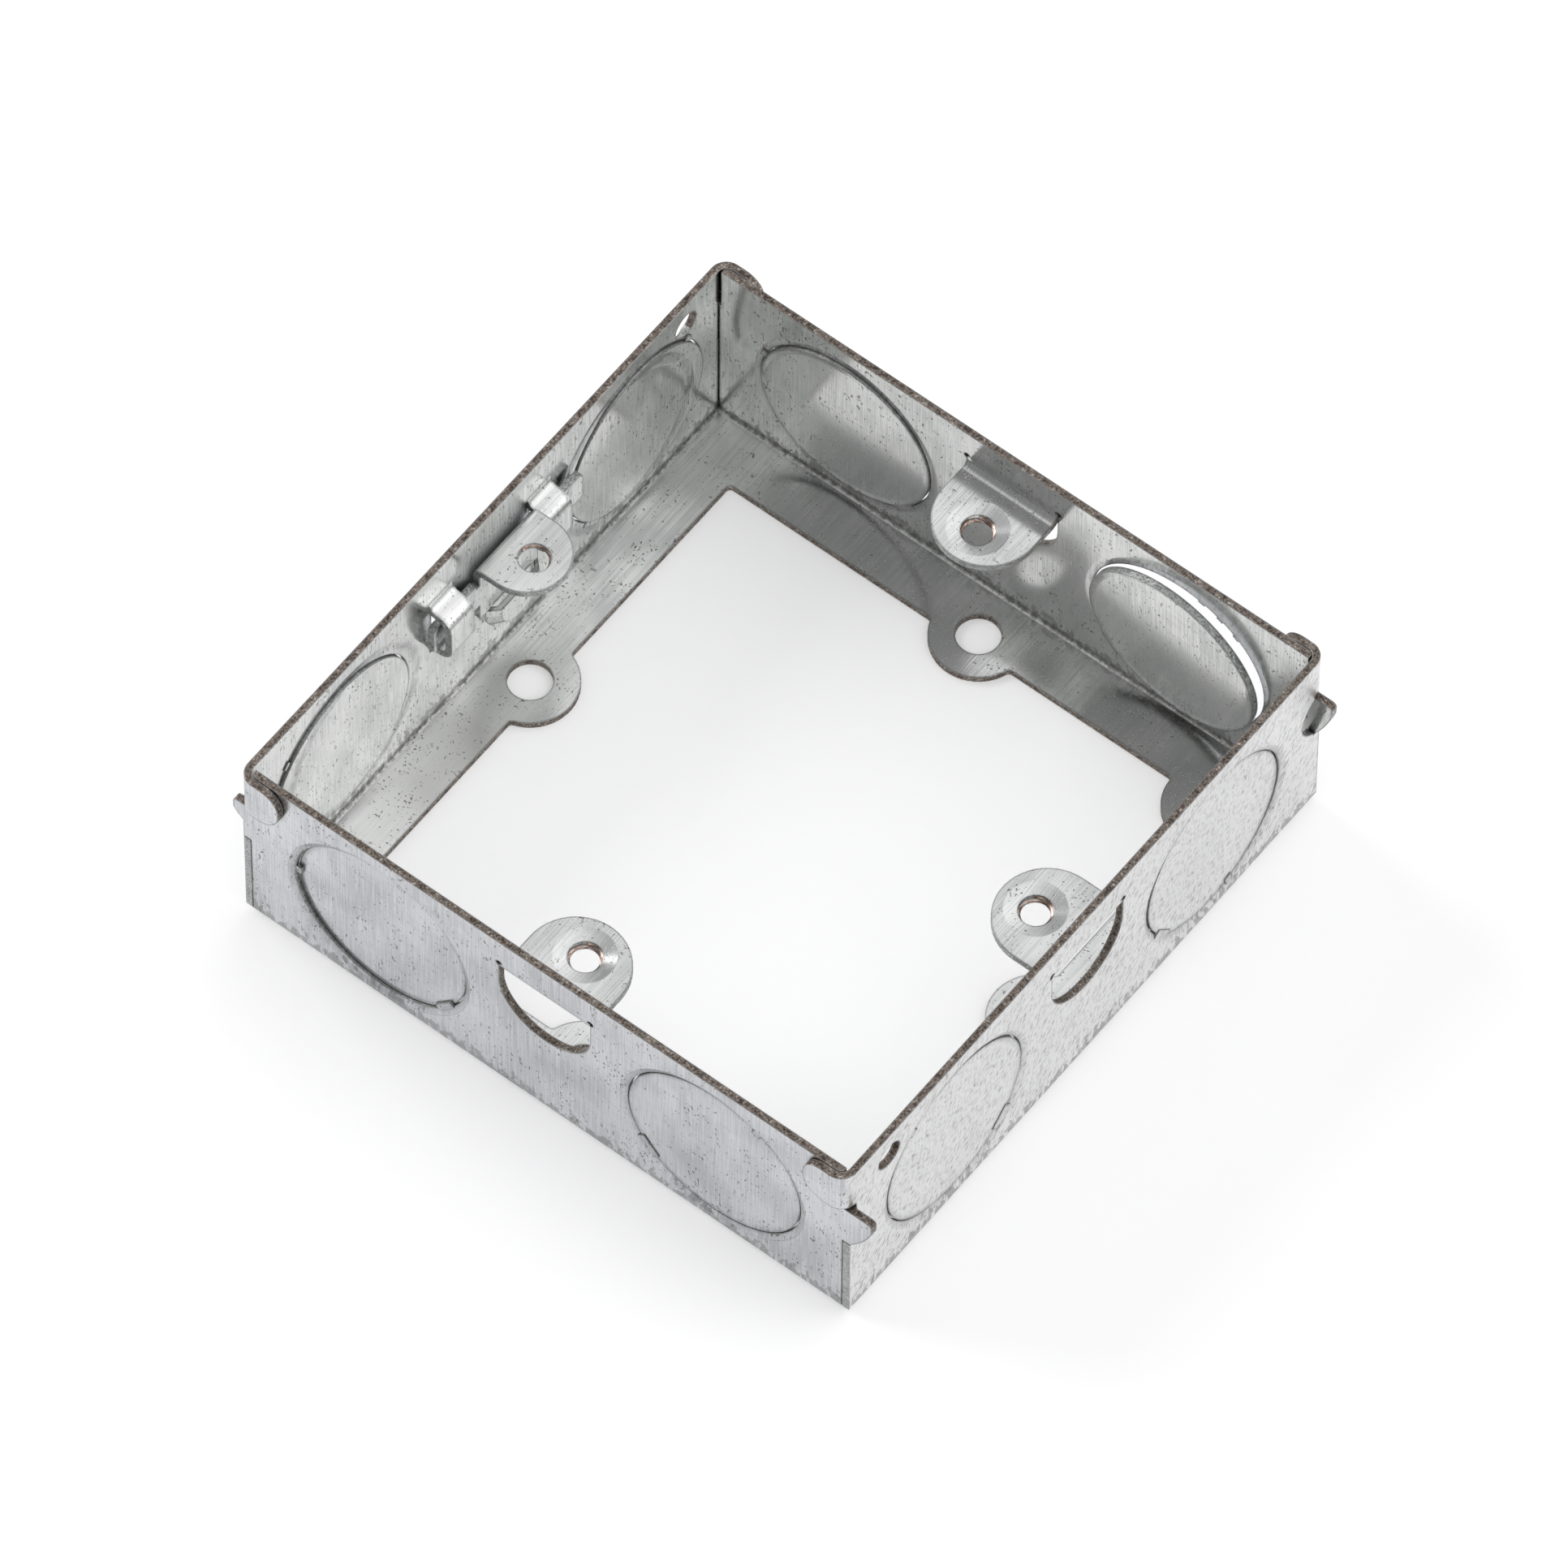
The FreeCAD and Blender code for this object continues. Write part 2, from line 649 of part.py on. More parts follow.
def sliding_lug():
    """A plate with two wings that run behind the straps, and a lug bent in over
    it. Drawn on the front wall and carried to the left one."""
    bend_d = plate_back + slide_lug_bend_outside
    bend_z = slide_lug_top - slide_lug_bend_outside
    half_lug = slide_lug_width / 2
    plate = block(-half_lug, half_lug, plate_back, plate_front, plate_bottom, bend_z)
    tongue = block(-tongue_middle - tongue_half_width, -tongue_middle + tongue_half_width,
                   plate_back, plate_front, tongue_bottom, bend_z)
    wings = block(-plate_half_length, plate_half_length, plate_back, plate_front, wing_bottom, wing_top)
    across = FreeCAD.Vector(0, 1, 0)
    ends = [e for e in wings.Edges
            if e.tangentAt(e.FirstParameter).cross(across).Length < 1e-6]
    wings = wings.makeFillet(wing_corner_radius, ends)
    bend = [section_arc(-half_lug, bend_d, bend_z, slide_lug_bend_inside, 180, 90),
            section_arc(-half_lug, bend_d, bend_z, slide_lug_bend_outside, 180, 90),
            line(at(-half_lug, plate_back, bend_z), at(-half_lug, plate_front, bend_z)),
            line(at(-half_lug, bend_d, slide_lug_top - sheet), at(-half_lug, bend_d, slide_lug_top))]
    tip_y = slide_lug_tip_margin - slide_screw_offset
    flat = lug_flat(slide_lug_width, tip_y, bend_d - half, slide_lug_top)
    lug = plate.fuse([wings, tongue, along_wall(bend, -half_lug, half_lug), flat])
    reliefs = []
    for hand in (-1, 1):
        u0, u1 = sorted((hand * half_lug, hand * (half_lug + slide_relief_width)))
        reliefs.append(block(u0, u1, 0, plate_front + past, wing_top - slide_relief_depth, wing_top + past))
    bore = bore_at(0, -slide_screw_offset, slide_lug_top, slide_hole_radius)
    lug = lug.cut(reliefs + [bore]).removeSplitter()
    lug.translate(FreeCAD.Vector(-slide_position, 0, 0))
    return turned(lug, LEFT)


def main():
    os.makedirs("parts", exist_ok=True)
    for name, shape in (("folded_box", folded_box()), ("sliding_lug", sliding_lug())):
        solids = shape.Solids
        print(name, "solids", len(solids), "valid", shape.isValid(), "volume", round(shape.Volume, 2))
        solids[0].exportStep("parts/" + name + ".step")


main()
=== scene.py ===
"""Looks of a steel electrical box extender: finishes, screw threads, studio and camera.

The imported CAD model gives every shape. This script dresses its two nodes as
zinc-coated sheet with sheared edges, adds the threads cut in the tapped holes,
and sets the box on a pale floor under soft light.
"""

import logging
import math
from dataclasses import dataclass, field
from enum import Enum
from typing import Any, Iterable

import bmesh
import bpy
from mathutils import Matrix, Vector
from mathutils.bvhtree import BVHTree


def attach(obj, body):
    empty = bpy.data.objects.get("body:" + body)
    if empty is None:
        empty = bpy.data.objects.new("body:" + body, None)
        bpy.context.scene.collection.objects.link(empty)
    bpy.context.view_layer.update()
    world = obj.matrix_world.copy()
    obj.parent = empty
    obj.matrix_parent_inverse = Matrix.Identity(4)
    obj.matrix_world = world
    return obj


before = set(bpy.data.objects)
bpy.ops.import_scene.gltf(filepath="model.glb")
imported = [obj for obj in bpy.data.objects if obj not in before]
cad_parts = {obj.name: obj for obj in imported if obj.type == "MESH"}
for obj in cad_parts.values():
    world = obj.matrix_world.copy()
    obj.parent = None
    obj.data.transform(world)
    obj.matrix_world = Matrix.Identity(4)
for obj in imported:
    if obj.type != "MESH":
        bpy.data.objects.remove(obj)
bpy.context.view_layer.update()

LOG = logging.getLogger("extension_box")
MM = 0.001
# Axes of the holes in the three fixed lugs, x and y in mm.
LUG_SCREWS = ((0.0, -30.15), (30.15, 0.0), (0.0, 30.15))


@dataclass(frozen=True)
class Zone:
    """A ball round a pressed feature, whose cut edges carry zinc dragged over them; at the wide notch the
    lighter edge is partly a painted highlight.

    Attributes:
        centre: its middle, in mm.
        radius: its radius, in mm.
    """

    centre: tuple[float, float, float]
    radius: float

    def holds(self, place: Vector) -> bool:
        """Whether a point, in mm, lies in the ball."""
        return (place - Vector(self.centre)).length < self.radius


# The places where the press worked the sheet.
KNOCKOUTS = tuple(Zone(centre, 11.5) for centre in (
    (-20.0, -36.0, 12.5), (20.0, -36.0, 12.5), (36.0, -20.0, 12.5), (36.0, 20.0, 12.5),
    (20.0, 36.0, 12.5), (-20.0, 36.0, 12.5), (-36.0, 22.6, 12.5), (-36.0, -22.6, 12.5)))
STRAPS = (Zone((-34.7, -7.3, 16.4), 5.5), Zone((-34.7, 7.75, 16.4), 5.5))
SCOOP = (Zone((-34.9, 2.2, 9.0), 5.2),)
LUGS = tuple(Zone(centre, 6.3) for centre in ((0.0, -30.6, 20.0), (30.6, 0.0, 20.0), (0.0, 30.6, 20.0)))
CORNERS = tuple(Zone((x, y, 6.5), 6.8) for x in (-36.0, 36.0) for y in (-36.0, 36.0))
# Partly painted highlight: the lower edge of the wide notch takes the lighter edge finish, partly zinc
# dragged over the cut and partly standing in for a highlight.
WIDE_NOTCH_SMEAR_AND_HIGHLIGHT = (Zone((36.0, 34.5, 15.0), 4.0),)
EVERYWHERE = (Zone((0.0, 0.0, 0.0), 100.0),)
# Middle and radius of the dull patch on the wall behind the sliding lug, in mm.
BEHIND_LUG = ((-35.5, 0.2, 20.5), 6.0)
# How far round a strap's middle the sheet is drawn, in mm.
STRAP_REACH = 5.2


class Body(Enum):
    """The CAD bodies that pieces ride on."""

    BOX = "box"
    LUG = "lug"


class Slot(Enum):
    """The record's material slots."""

    SHEET = "galvanised_sheet"
    LUG = "lug_sheet"


def linear(colour: str) -> tuple[float, float, float, float]:
    """Turn an sRGB hex colour into the linear values that a socket takes.

    Args:
        colour: six hex digits, with or without a leading #.

    Returns:
        Linear red, green and blue, and an alpha of 1.
    """
    digits = colour.lstrip("#")
    parts = [int(digits[i : i + 2], 16) / 255 for i in (0, 2, 4)]
    r, g, b = (c / 12.92 if c <= 0.04045 else ((c + 0.055) / 1.055) ** 2.4 for c in parts)
    return (r, g, b, 1.0)


def add_node(tree: bpy.types.NodeTree, kind: str, settings: dict[str, Any] | None = None,
             links: dict[str | int, Any] | None = None) -> bpy.types.Node:
    """Add one node with its settings and its input links.

    Args:
        tree: the node tree that gets the node.
        kind: the node's class name, such as ShaderNodeTexNoise.
        settings: node properties, or input values where the name is an input's.
        links: input name or number to the output socket that feeds it.

    Returns:
        The new node.
    """
    node = tree.nodes.new(kind)
    for name, value in (settings or {}).items():
        if hasattr(node, name):
            setattr(node, name, value)
        else:
            node.inputs[name].default_value = value
    for name, source in (links or {}).items():
        tree.links.new(source, node.inputs[name])
    return node


@dataclass
class FinishGraph:
    """Shared steps of the finishes: coordinates in millimetres, noises and masks.

    Attributes:
        name: the material's name.
        wear: how far the edges look rubbed round, in mm.
        crevice: how far from another face the painted shade of a crevice reaches, in mm.
        crevice_shade_depth: how dark the painted shade in the narrowest crevice gets, 0 to 1.
        crevice_shade_colour: colour of the painted shade in the narrowest crevice.
    """

    name: str
    wear: float = 0.15
    crevice: float = 0.9
    crevice_shade_depth: float = 0.6
    crevice_shade_colour: str = "#3A3633"
    material: bpy.types.Material = field(init=False)
    tree: bpy.types.NodeTree = field(init=False)
    place: bpy.types.NodeSocket = field(init=False)

    def __post_init__(self) -> None:
        """Make an empty material whose patterns read Object coordinates."""
        self.material = bpy.data.materials.new(self.name)
        self.material.use_nodes = True
        self.tree = self.material.node_tree
        self.tree.nodes.clear()
        coordinates = self.add("ShaderNodeTexCoord")
        millimetres = self.add("ShaderNodeMapping", {"Scale": (1000.0,) * 3},
                               {"Vector": coordinates.outputs["Object"]})
        self.place = millimetres.outputs[0]

    def add(self, kind: str, settings: dict[str, Any] | None = None,
            links: dict[str | int, Any] | None = None) -> bpy.types.Node:
        """Add a node to this material's tree."""
        return add_node(self.tree, kind, settings, links)

    def noise(self, size: tuple[float, float, float], detail: float = 2.0,
              offset: float = 0.0, source: bpy.types.NodeSocket | None = None) -> bpy.types.NodeSocket:
        """A noise whose blobs have a real size.

        Args:
            size: length of one blob along each axis, in millimetres.
            detail: octaves of finer noise.
            offset: shift of the pattern, so that two noises differ.
            source: coordinates in millimetres, or the object's own.

        Returns:
            The noise's value, about 0.5 on average.
        """
        scaled = self.add("ShaderNodeMapping",
                          {"Scale": tuple(1.0 / s for s in size), "Location": (offset,) * 3},
                          {"Vector": source or self.place})
        texture = self.add("ShaderNodeTexNoise", {"Scale": 1.0, "Detail": detail},
                           {"Vector": scaled.outputs[0]})
        return texture.outputs["Fac"]

    def ramp(self, value: bpy.types.NodeSocket, low: float, high: float,
             start: float = 0.0, end: float = 1.0) -> bpy.types.NodeSocket:
        """A smooth step of a value.

        Args:
            value: what the step follows.
            low: the value where the step begins.
            high: the value where it ends.
            start: the result up to low.
            end: the result from high on.

        Returns:
            The step.
        """
        node = self.add("ShaderNodeMapRange",
                        {"interpolation_type": "SMOOTHSTEP", "From Min": low, "From Max": high,
                         "To Min": start, "To Max": end}, {"Value": value})
        return node.outputs[0]

    def math(self, operation: str, a: bpy.types.NodeSocket | float,
             b: bpy.types.NodeSocket | float = 0.0) -> bpy.types.NodeSocket:
        """One sum on two values.

        Args:
            operation: the Math node's operation.
            a: the first value, a socket or a number.
            b: the second value, a socket or a number.

        Returns:
            The result.
        """
        node = self.add("ShaderNodeMath", {"operation": operation})
        for number, value in enumerate((a, b)):
            if isinstance(value, (int, float)):
                node.inputs[number].default_value = value
            else:
                self.tree.links.new(value, node.inputs[number])
        return node.outputs[0]

    def blend(self, amount: bpy.types.NodeSocket | float, a: bpy.types.NodeSocket | str,
              b: bpy.types.NodeSocket | str) -> bpy.types.NodeSocket:
        """Mix two colours.

        Args:
            amount: how much of b there is, 0 to 1.
            a: the first colour, a socket or a hex colour.
            b: the second colour, a socket or a hex colour.

        Returns:
            The mixed colour.
        """
        node = self.add("ShaderNodeMix", {"data_type": "RGBA"})
        for number, value in ((0, amount), (6, a), (7, b)):
            if isinstance(value, str):
                node.inputs[number].default_value = linear(value)
            elif isinstance(value, (int, float)):
                node.inputs[number].default_value = value
            else:
                self.tree.links.new(value, node.inputs[number])
        return node.outputs[2]

    def near(self, centre: tuple[float, float, float], radius: float) -> bpy.types.NodeSocket:
        """A mask round one point.

        Args:
            centre: the point, in millimetres.
            radius: where the mask has faded out, in millimetres.

        Returns:
            1 around the point, falling to 0 at the radius.
        """
        away = self.add("ShaderNodeVectorMath", {"operation": "DISTANCE"}, {0: self.place})
        away.inputs[1].default_value = centre
        return self.ramp(away.outputs["Value"], 0.6 * radius, radius, 1.0, 0.0)

    def edge_line(self, reach: float) -> bpy.types.NodeSocket:
        """A thin line along every edge that stands out, 1 on the edge itself.

        Args:
            reach: how far from the edge the line fades out, in millimetres.

        Returns:
            The line's strength, 0 to 1.
        """
        rounded = self.add("ShaderNodeBevel", {"samples": 4, "Radius": reach * MM})
        face = self.add("ShaderNodeNewGeometry")
        agree = self.add("ShaderNodeVectorMath", {"operation": "DOT_PRODUCT"},
                         {0: rounded.outputs[0], 1: face.outputs["True Normal"]})
        return self.ramp(agree.outputs["Value"], 0.88, 0.995, 1.0, 0.0)

    def finish(self, colour: bpy.types.NodeSocket, roughness: bpy.types.NodeSocket,
               height: bpy.types.NodeSocket, metallic: float, relief: float,
               rounding: bpy.types.NodeSocket | None = None) -> bpy.types.Material:
        """Paint shade into the crevices, then join colour, roughness and relief to the surface shader.

        Args:
            colour: the base colour.
            roughness: the roughness.
            height: the relief, 0 to 1.
            metallic: how much of the surface is bare metal.
            relief: the depth of the relief in millimetres.
            rounding: how far the edges look rounded, in metres, where it varies.

        Returns:
            The finished material.
        """
        # Painted shade: the colour darkens where other faces of the same piece close in, standing in for the
        # shade in crevices and at contacts.
        nearby = self.add("ShaderNodeAmbientOcclusion",
                          {"samples": 8, "only_local": True, "Distance": self.crevice * MM})
        painted_crevice_shade = self.ramp(nearby.outputs["AO"], 0.25, 0.92, self.crevice_shade_depth, 0.0)
        colour = self.blend(painted_crevice_shade, colour, self.crevice_shade_colour)
        worn = self.add("ShaderNodeBevel", {"samples": 4, "Radius": self.wear * MM},
                        {"Radius": rounding} if rounding else None)
        bump = self.add("ShaderNodeBump", {"Strength": 1.0, "Distance": relief * MM},
                        {"Height": height, "Normal": worn.outputs[0]})
        shader = self.add("ShaderNodeBsdfPrincipled", {"Metallic": metallic},
                          {"Base Color": colour, "Roughness": roughness, "Normal": bump.outputs[0]})
        self.add("ShaderNodeOutputMaterial", links={"Surface": shader.outputs[0]})
        return self.material


@dataclass(frozen=True)
class Faces:
    """Which part of the box a point is on, each from 0 to 1.

    Attributes:
        x: the place along X, in mm.
        y: the place along Y, in mm.
        z: the height, in mm.
        side_wall: on the right or left wall.
        upright: on a wall, not on the base flange or a lug.
        inner: turned into the box, or level.
        right_outside: outside the right wall.
        left_flange: on the level faces beside the left wall.
        straps: on the two drawn straps.
    """

    x: bpy.types.NodeSocket
    y: bpy.types.NodeSocket
    z: bpy.types.NodeSocket
    side_wall: bpy.types.NodeSocket
    upright: bpy.types.NodeSocket
    inner: bpy.types.NodeSocket
    right_outside: bpy.types.NodeSocket
    left_flange: bpy.types.NodeSocket
    straps: bpy.types.NodeSocket

    @classmethod
    def of(cls, g: FinishGraph) -> "Faces":
        """Work the masks out from the place and the face's direction.

        Args:
            g: the finish's graph.

        Returns:
            The masks.
        """
        geometry = g.add("ShaderNodeNewGeometry")
        normal = g.add("ShaderNodeSeparateXYZ", links={0: geometry.outputs["True Normal"]})
        x, y, z = g.add("ShaderNodeSeparateXYZ", links={0: g.place}).outputs
        side_wall = g.ramp(g.math("ABSOLUTE", normal.outputs[0]), 0.6, 0.8)
        upright = g.ramp(g.math("ABSOLUTE", normal.outputs[2]), 0.55, 0.9, 1.0, 0.0)
        outward = g.math("ADD", g.math("MULTIPLY", normal.outputs[0], x),
                         g.math("MULTIPLY", normal.outputs[1], y))
        inner = g.ramp(g.math("MULTIPLY", outward, upright), 0.0, 3.0, 1.0, 0.0)
        right_outside = g.math("MULTIPLY", g.ramp(normal.outputs[0], 0.7, 0.9), g.ramp(x, 34.0, 36.0))
        left_flange = g.math("MULTIPLY", g.ramp(upright, 0.0, 1.0, 1.0, 0.0),
                             g.ramp(x, -30.0, -24.0, 1.0, 0.0))
        straps = g.math("ADD", *(g.near(strap.centre, STRAP_REACH) for strap in STRAPS))
        return cls(x, y, z, side_wall, upright, inner, right_outside, left_flange, straps)


@dataclass(frozen=True)
class ZincSheet:
    """Hot-dip galvanised mild steel strip, skin-passed at the mill.

    The rolls leave fine lines along the strip. Handling leaves pits, dull
    patches and rubbed edges, and the surface still mirrors what is near it.
    Real roll lines are about 0.05 mm apart, too fine to show, so they are drawn
    0.16 to 0.22 mm apart.

    Attributes:
        name: the material's name.
        light: colour of clean zinc.
        dull: colour of weathered zinc.
        inner_lit_clean: colour of clean zinc on the faces turned into the box, painted brighter to stand in
            for the light that reaches inside.
        inner_lit_dull: colour of dulled zinc on those faces, painted brighter in the same way.
        bloom_and_painted_light: colour outside the right wall, partly a whiter, rougher zinc and partly
            painted light.
        dish_ring_shade: colour of the painted shade on the dished ring that the punch left round a knockout.
        flange_reflection: colour of the painted reflection on the front part of the left flange.
        rubbed: colour of the scuffs low on the walls.
        stroke: colour of the slanted strokes outside the right wall.
        pit: colour of the dark pits.
        crease: colour of the specks along the inside of the base bend.
        edge: colour of the dark line along the edges, partly a burr line and partly painted shade along the
            contours.
        roughness: of clean zinc.
        relief_depth: of the relief, in mm.
        spread: of a wall's two knockouts from its middle, in mm.
        spread_slide_wall: the same on the wall of the sliding lug, in mm.
        knockout_height: of the knockouts' middles, in mm.
        knockout_radius: of the slit round a knockout, in mm.
        edge_reach: how far from an edge its line fades out, in mm.
        drawn_rounding: how far the drawn straps' edges look rounded, in mm.
    """

    name: str
    light: str = "#D0D1D4"
    dull: str = "#B0B2B4"
    inner_lit_clean: str = "#EAEBE9"
    inner_lit_dull: str = "#C9CBC9"
    bloom_and_painted_light: str = "#E9E9E8"
    dish_ring_shade: str = "#77767A"
    flange_reflection: str = "#F4F4F2"
    rubbed: str = "#8E8E8D"
    stroke: str = "#84807C"
    pit: str = "#6F6B66"
    crease: str = "#5E5A55"
    edge: str = "#3D3835"
    roughness: float = 0.26
    relief_depth: float = 0.03
    spread: float = 20.0
    spread_slide_wall: float = 22.6
    knockout_height: float = 12.5
    knockout_radius: float = 10.25
    edge_reach: float = 0.32
    drawn_rounding: float = 0.65

    def build(self) -> bpy.types.Material:
        """Build the material.

        Returns:
            The finished material.
        """
        g = FinishGraph(self.name)
        faces = Faces.of(g)
        roll_lines = g.blend(faces.side_wall, g.noise((0.16, 9.0, 7.0), 3.0),
                             g.noise((9.0, 0.22, 5.0), 3.0, 4.0))
        weave = g.noise((4.0, 4.0, 0.13), 2.0, 9.0)
        cloud = g.noise((7.0, 7.0, 7.0), 4.0, 2.0)
        tone = g.math("ADD", g.math("MULTIPLY", roll_lines, 0.45),
                      g.math("ADD", g.math("MULTIPLY", cloud, 0.4), g.math("MULTIPLY", weave, 0.15)))
        ring = self.press_ring(g, faces)
        pits = self.pits(g, faces)
        rubbed = self.scuffs(g, faces)
        slanted = g.add("ShaderNodeMapping", {"Rotation": (math.radians(-55.0), 0.0, 0.0)},
                        {"Vector": g.place})
        crinkle = g.noise((0.5, 0.8, 0.17), 2.0, 41.0, slanted.outputs[0])

        colour = self.clean_colour(g, faces, tone)
        broken = g.ramp(g.noise((1.6, 1.6, 1.6), 3.0, 31.0), 0.35, 0.6, 0.35, 1.0)
        # Painted shade: the dished ring round each knockout is darkened, standing in for the shading of the
        # dish.
        dish_ring_shade = g.math("MULTIPLY", faces.upright, g.math("MULTIPLY", ring, broken))
        colour = g.blend(g.math("MULTIPLY", dish_ring_shade, 0.4), colour, self.dish_ring_shade)
        # Painted reflection: the front part of the left flange is whitened, standing in for the bright wall
        # that it mirrors.
        flange_reflection = g.math("MULTIPLY", faces.left_flange, g.ramp(faces.y, -10.0, 8.0, 0.7, 0.0))
        colour = g.blend(flange_reflection, colour, self.flange_reflection)
        colour = g.blend(g.math("MULTIPLY", rubbed, 0.55), colour, self.rubbed)
        colour = g.blend(pits, colour, self.pit)
        strokes = g.math("MULTIPLY", faces.right_outside, g.ramp(crinkle, 0.53, 0.66))
        colour = g.blend(g.math("MULTIPLY", strokes, 0.6), colour, self.stroke)
        # Partly painted shade: a dark line along the edges below the rim, partly a burr line and partly shade
        # along the contours.
        colour = g.blend(self.edge_shade(g, faces), colour, self.edge)
        colour = g.blend(self.crease_specks(g, faces), colour, self.crease)

        scuffed = g.math("MAXIMUM", pits, rubbed)
        roughness = self.satin(g, faces, tone, scuffed)
        waviness = g.ramp(faces.upright, 0.0, 1.0, 0.6, 1.6)
        wave = g.noise((11.0, 11.0, 11.0), 1.0, 21.0)
        relief = g.math("SUBTRACT", g.math("MULTIPLY", wave, waviness), g.math("MULTIPLY", pits, 0.35))
        relief = g.math("SUBTRACT", relief, g.math("MULTIPLY", ring, 2.0))
        rippled = g.math("MULTIPLY", faces.right_outside, crinkle)
        relief = g.math("ADD", relief, g.math("MULTIPLY", rippled, 1.2))
        height = g.math("ADD", g.math("MULTIPLY", roll_lines, 0.10), relief)
        rounding = g.ramp(faces.straps, 0.0, 1.0, g.wear * MM, self.drawn_rounding * MM)
        return g.finish(colour, roughness, height, 1.0, self.relief_depth, rounding)

    def clean_colour(self, g: FinishGraph, faces: Faces,
                     tone: bpy.types.NodeSocket) -> bpy.types.NodeSocket:
        """The zinc before its marks, with painted light: brighter copies of its colours inside the box, and
        whiter outside the right wall, partly for its finish and partly as painted light.

        Args:
            g: the finish's graph.
            faces: which part of the box a point is on.
            tone: the rolled, clouded tone, about 0.5 on average.

        Returns:
            The colour.
        """
        clean = g.ramp(tone, 0.36, 0.62)
        # Painted light: the faces turned into the box take brighter copies of the zinc colours, standing in
        # for the light that reaches inside.
        zinc = g.blend(faces.inner, g.blend(clean, self.dull, self.light),
                       g.blend(clean, self.inner_lit_dull, self.inner_lit_clean))
        # Partly painted light: outside the right wall the zinc is whitened, partly for its whiter finish and
        # partly to stand in for light on that wall.
        return g.blend(g.math("MULTIPLY", faces.right_outside, 0.8), zinc, self.bloom_and_painted_light)

    def pits(self, g: FinishGraph, faces: Faces) -> bpy.types.NodeSocket:
        """Dark pits in clusters, fewer outside the right wall.

        Args:
            g: the finish's graph.
            faces: which part of the box a point is on.

        Returns:
            The pits' strength, 0 to 0.8.
        """
        patch = g.noise((2.2, 2.2, 2.6), 3.0, 6.0)
        small = g.noise((0.26, 0.26, 0.5), 1.0, 13.0)
        clustered = g.math("SUBTRACT", small, g.ramp(patch, 0.3, 0.7, 0.09, -0.02))
        share = g.ramp(faces.right_outside, 0.0, 1.0, 0.8, 0.25)
        return g.math("MULTIPLY", g.ramp(clustered, 0.64, 0.70), share)

    def scuffs(self, g: FinishGraph, faces: Faces) -> bpy.types.NodeSocket:
        """Scuffs in the zinc, more of them low on the walls.

        Args:
            g: the finish's graph.
            faces: which part of the box a point is on.

        Returns:
            The scuffs' strength, 0 to 1.
        """
        low = g.math("MULTIPLY", faces.upright, g.ramp(faces.z, 0.6, 4.2, 0.30, 0.0))
        return g.ramp(g.math("ADD", g.noise((0.7, 0.7, 1.3), 3.0, 17.0), low), 0.66, 0.76)

    def edge_shade(self, g: FinishGraph, faces: Faces) -> bpy.types.NodeSocket:
        """The dark line along each edge below the rim, partly a burr line and partly painted shade along the
        contours, weaker on the drawn straps.

        Args:
            g: the finish's graph.
            faces: which part of the box a point is on.

        Returns:
            The line's strength, 0 to 1.
        """
        below_rim = g.ramp(faces.z, 23.6, 24.2, 0.85, 0.0)
        line = g.math("MULTIPLY", g.edge_line(self.edge_reach), g.ramp(faces.straps, 0.0, 1.0, 1.0, 0.3))
        return g.math("MULTIPLY", line, below_rim)

    def crease_specks(self, g: FinishGraph, faces: Faces) -> bpy.types.NodeSocket:
        """Dark specks along the inside of the base bend.

        Args:
            g: the finish's graph.
            faces: which part of the box a point is on.

        Returns:
            The specks' strength, 0 to 1.
        """
        bend_line = g.math("MULTIPLY", faces.inner, g.ramp(faces.z, 1.3, 1.7, 1.0, 0.0))
        bend_line = g.math("MULTIPLY", bend_line, self.above_flange(g, faces))
        specks = g.ramp(g.noise((0.45, 0.45, 0.45), 2.0, 51.0), 0.42, 0.58)
        return g.math("MULTIPLY", bend_line, g.math("MULTIPLY", specks, 0.45))

    def above_flange(self, g: FinishGraph, faces: Faces) -> bpy.types.NodeSocket:
        """0 on the base flange's upper face and 1 just above it."""
        return g.ramp(faces.z, 0.801, 0.83)

    def satin(self, g: FinishGraph, faces: Faces, tone: bpy.types.NodeSocket,
              scuffed: bpy.types.NodeSocket) -> bpy.types.NodeSocket:
        """The zinc's roughness: brighter inside, duller in the bend and on scuffs.

        Args:
            g: the finish's graph.
            faces: which part of the box a point is on.
            tone: the rolled, clouded tone, about 0.5 on average.
            scuffed: the strength of the pits and scuffs.

        Returns:
            The roughness.
        """
        rough = g.ramp(tone, 0.3, 0.7, self.roughness + 0.12, self.roughness - 0.04)
        bend = g.math("MULTIPLY", self.above_flange(g, faces), g.ramp(faces.z, 1.0, 1.4, 0.3, 0.0))
        behind_lug = g.math("MULTIPLY", faces.upright, g.near(*BEHIND_LUG))
        shares = ((faces.left_flange, 0.16), (faces.inner, g.math("SUBTRACT", bend, 0.12)),
                  (faces.right_outside, 0.1), (scuffed, 0.2), (behind_lug, 0.4))
        for where, amount in shares:
            rough = g.math("ADD", rough, g.math("MULTIPLY", where, amount))
        return rough

    def press_ring(self, g: FinishGraph, faces: Faces) -> bpy.types.NodeSocket:
        """The ring that the punch left round each knockout.

        Args:
            g: the finish's graph.
            faces: which part of the box a point is on.

        Returns:
            1 on the ring, falling to 0 beside it.
        """
        along = g.add("ShaderNodeMix", {"data_type": "FLOAT"},
                      {0: faces.side_wall, 2: faces.x, 3: faces.y}).outputs[0]
        spread = g.ramp(faces.x, -36.0, -35.0, self.spread_slide_wall, self.spread)
        across = g.math("SUBTRACT", g.math("ABSOLUTE", along), spread)
        up = g.math("SUBTRACT", faces.z, self.knockout_height)
        square = g.math("ADD", g.math("MULTIPLY", across, across), g.math("MULTIPLY", up, up))
        off_ring = g.math("SUBTRACT", g.math("SQRT", square), self.knockout_radius)
        return g.ramp(g.math("ABSOLUTE", off_ring), 0.15, 0.9, 1.0, 0.0)


